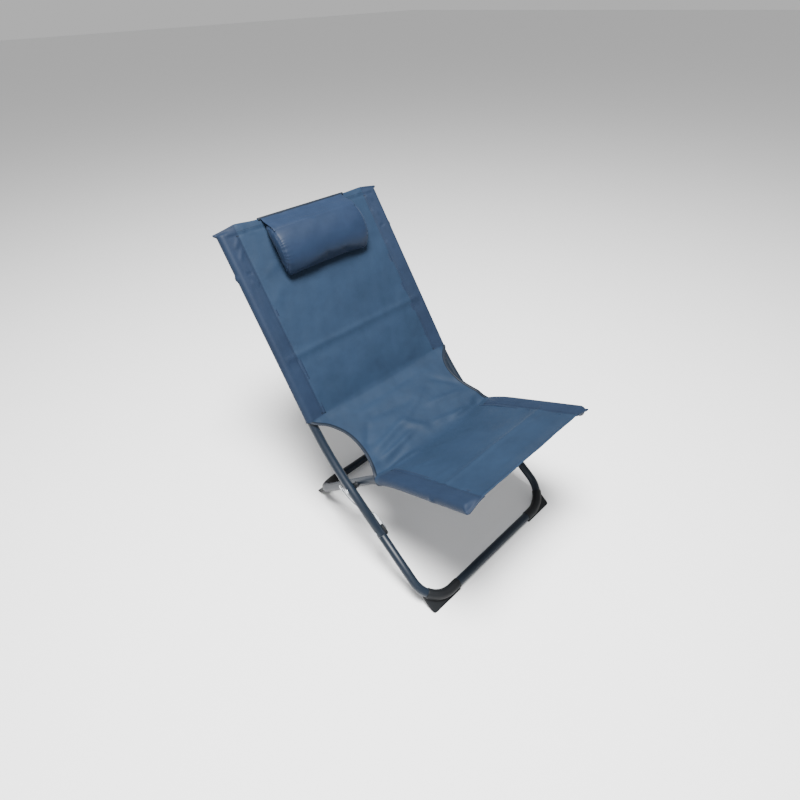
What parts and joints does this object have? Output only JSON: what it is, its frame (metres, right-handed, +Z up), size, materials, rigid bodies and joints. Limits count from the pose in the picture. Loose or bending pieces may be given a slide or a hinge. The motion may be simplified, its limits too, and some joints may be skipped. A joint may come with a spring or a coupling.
{
  "type": "folding camp chair",
  "caption": "Low folding camp chair: two crossed navy tube frames hinged at the side, a blue fabric sling seat and back, and a flip-over head pillow.",
  "frame": {"origin": "on the floor, in the middle of the open chair's footprint", "axes": "+Z up. The sitter faces -Y, so the back leans towards +Y. +X is on the right of someone who faces the chair, which is the sitter's left."},
  "size_m": [0.556, 0.8748, 0.8552],
  "materials": {
    "frame_paint": "satin navy powder coat",
    "black_plastic": "moulded charcoal plastic, matte",
    "zinc": "bright zinc plating",
    "sling_cloth": "steel blue coated polyester, plain weave",
    "pillow_cloth": "blue polyester, slightly smoother than the sling"
  },
  "bodies": {
    "back_frame": {"front_leg_tube": "frame_paint", "back_cross_tube": "frame_paint", "back_panel": "sling_cloth", "hip_panel": "sling_cloth", "back_tube_left": "frame_paint", "back_tube_right": "frame_paint", "leg_coupling_left": "zinc", "leg_coupling_right": "zinc", "back_cross_screw_left": "zinc", "back_cross_screw_right": "zinc", "back_cap_left": "black_plastic", "back_cap_right": "black_plastic", "front_foot_left": "black_plastic", "front_foot_right": "black_plastic", "pivot_bolt_left": "zinc", "pivot_bolt_right": "zinc", "pivot_spacer_left": "black_plastic", "pivot_spacer_right": "black_plastic", "pivot_nut_left": "zinc", "pivot_nut_right": "zinc", "stay_rivet_left": "zinc", "stay_rivet_right": "zinc", "joint_collar_left": "black_plastic", "joint_collar_right": "black_plastic", "back_sleeve_left": "sling_cloth", "back_sleeve_right": "sling_cloth"},
    "seat_frame": {"seat_tube": "frame_paint", "seat_cross_tube": "frame_paint", "seat_panel": "sling_cloth", "seat_cross_screw_left": "zinc", "seat_cross_screw_right": "zinc", "seat_cap_left": "black_plastic", "seat_cap_right": "black_plastic", "rear_foot_left": "black_plastic", "rear_foot_right": "black_plastic", "stay_pin_left": "zinc", "stay_pin_right": "zinc", "seat_sleeve_left": "sling_cloth", "seat_sleeve_right": "sling_cloth"},
    "stay_left": {"stay_left": "zinc"},
    "stay_right": {"stay_right": "zinc"},
    "pillow": {"head_pillow": "pillow_cloth", "pillow_flap": "pillow_cloth"}
  },
  "joints": [
    {"name": "fold", "type": "hinge", "parent": "back_frame", "child": "seat_frame", "pos_m": [0, -0.04369, 0.22906], "axis": [-1, 0, 0], "range_deg": [0, 92], "deforming": ["hip_panel"]},
    {"name": "stay_left_swing", "type": "hinge", "parent": "back_frame", "child": "stay_left", "pos_m": [0, -0.15619, 0.15087], "axis": [-1, 0, 0], "range_deg": [0, 13.8]},
    {"name": "stay_right_swing", "type": "hinge", "parent": "back_frame", "child": "stay_right", "pos_m": [0, -0.15619, 0.15087], "axis": [-1, 0, 0], "range_deg": [0, 13.8]},
    {"name": "pillow_flip", "type": "hinge", "parent": "back_frame", "child": "pillow", "pos_m": [0, 0.41867, 0.85427], "axis": [-1, 0, 0], "range_deg": [0, 290]}
  ],
  "couplings": [
    {"joint": "stay_left_swing", "follows": "fold", "ratio": 0.15},
    {"joint": "stay_right_swing", "follows": "fold", "ratio": 0.15}
  ]
}
